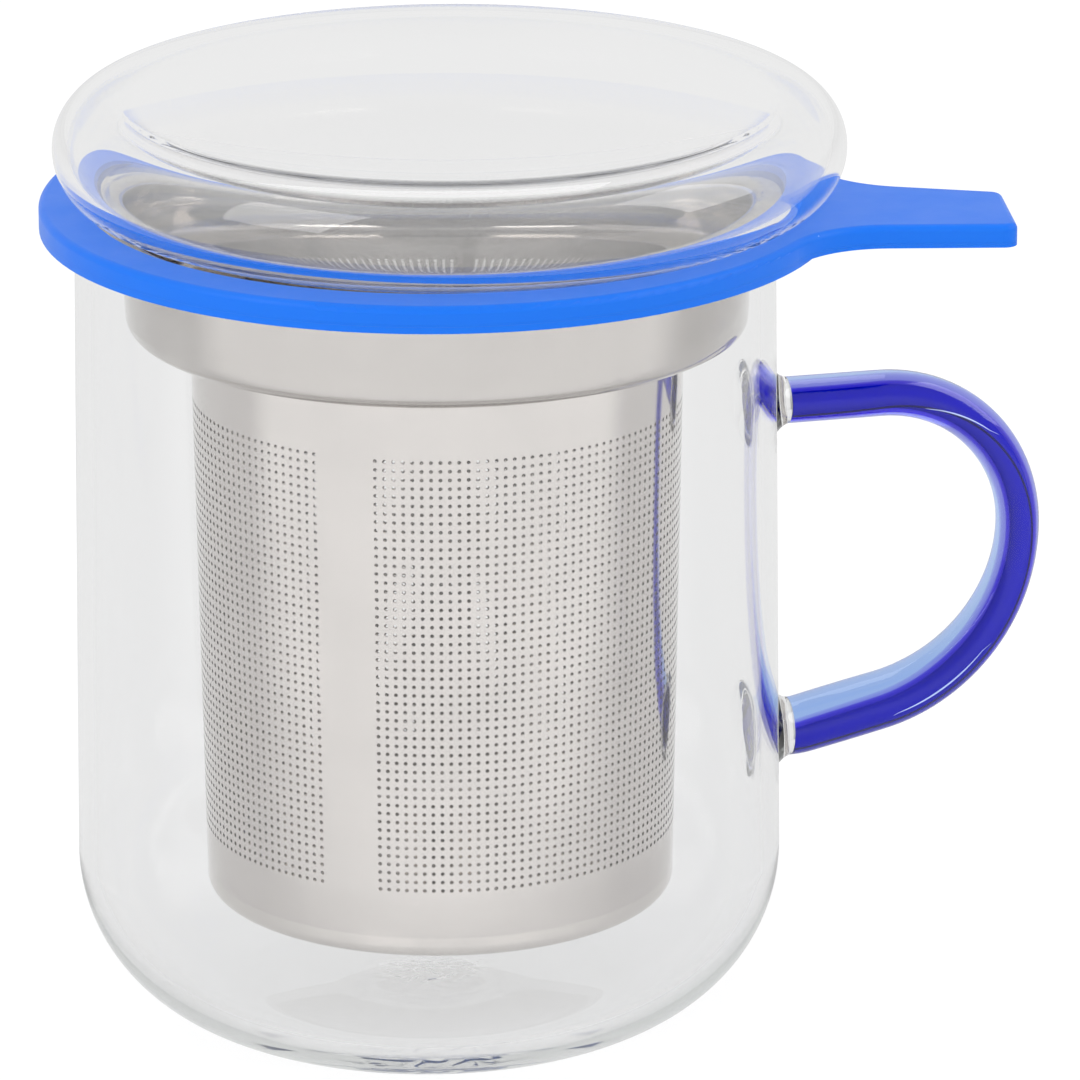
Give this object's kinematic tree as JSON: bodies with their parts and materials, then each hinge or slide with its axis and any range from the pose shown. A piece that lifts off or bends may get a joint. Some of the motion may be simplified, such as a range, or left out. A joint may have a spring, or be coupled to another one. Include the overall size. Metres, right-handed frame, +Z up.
{
  "type": "lidded tea mug with infuser",
  "caption": "Clear glass tea mug with a blue glass handle, a lift-out perforated steel infuser in a blue silicone ring with a pull tab, and a loose hollow glass lid.",
  "frame": {"origin": "centre of the mug's flat foot, on the surface it stands on", "axes": "+Z up along the mug's axis, +X towards the handle"},
  "size_m": [0.1209, 0.093, 0.1127],
  "materials": {
    "clear_glass": "polished",
    "lid_glass": "polished",
    "blue_glass": "polished",
    "steel": "satin",
    "perforated_steel": "satin, perforated",
    "blue_silicone": "matte"
  },
  "bodies": {
    "mug": {"mug_body": "clear_glass", "handle": "blue_glass", "upper_weld_bead": "clear_glass", "lower_weld_bead": "clear_glass"},
    "infuser": {"infuser_collar": "steel", "filter_tube": "perforated_steel", "filter_base": "steel", "silicone_ring": "blue_silicone"},
    "lid": {"glass_lid": "lid_glass"}
  },
  "joints": [
    {"name": "infuser_lift", "type": "slide", "parent": "mug", "child": "infuser", "axis": [0, 0, 1], "range_m": [0, 0.09]},
    {"name": "lid_lift", "type": "slide", "parent": "infuser", "child": "lid", "axis": [0, 0, 1], "range_m": [0, 0.05]}
  ]
}
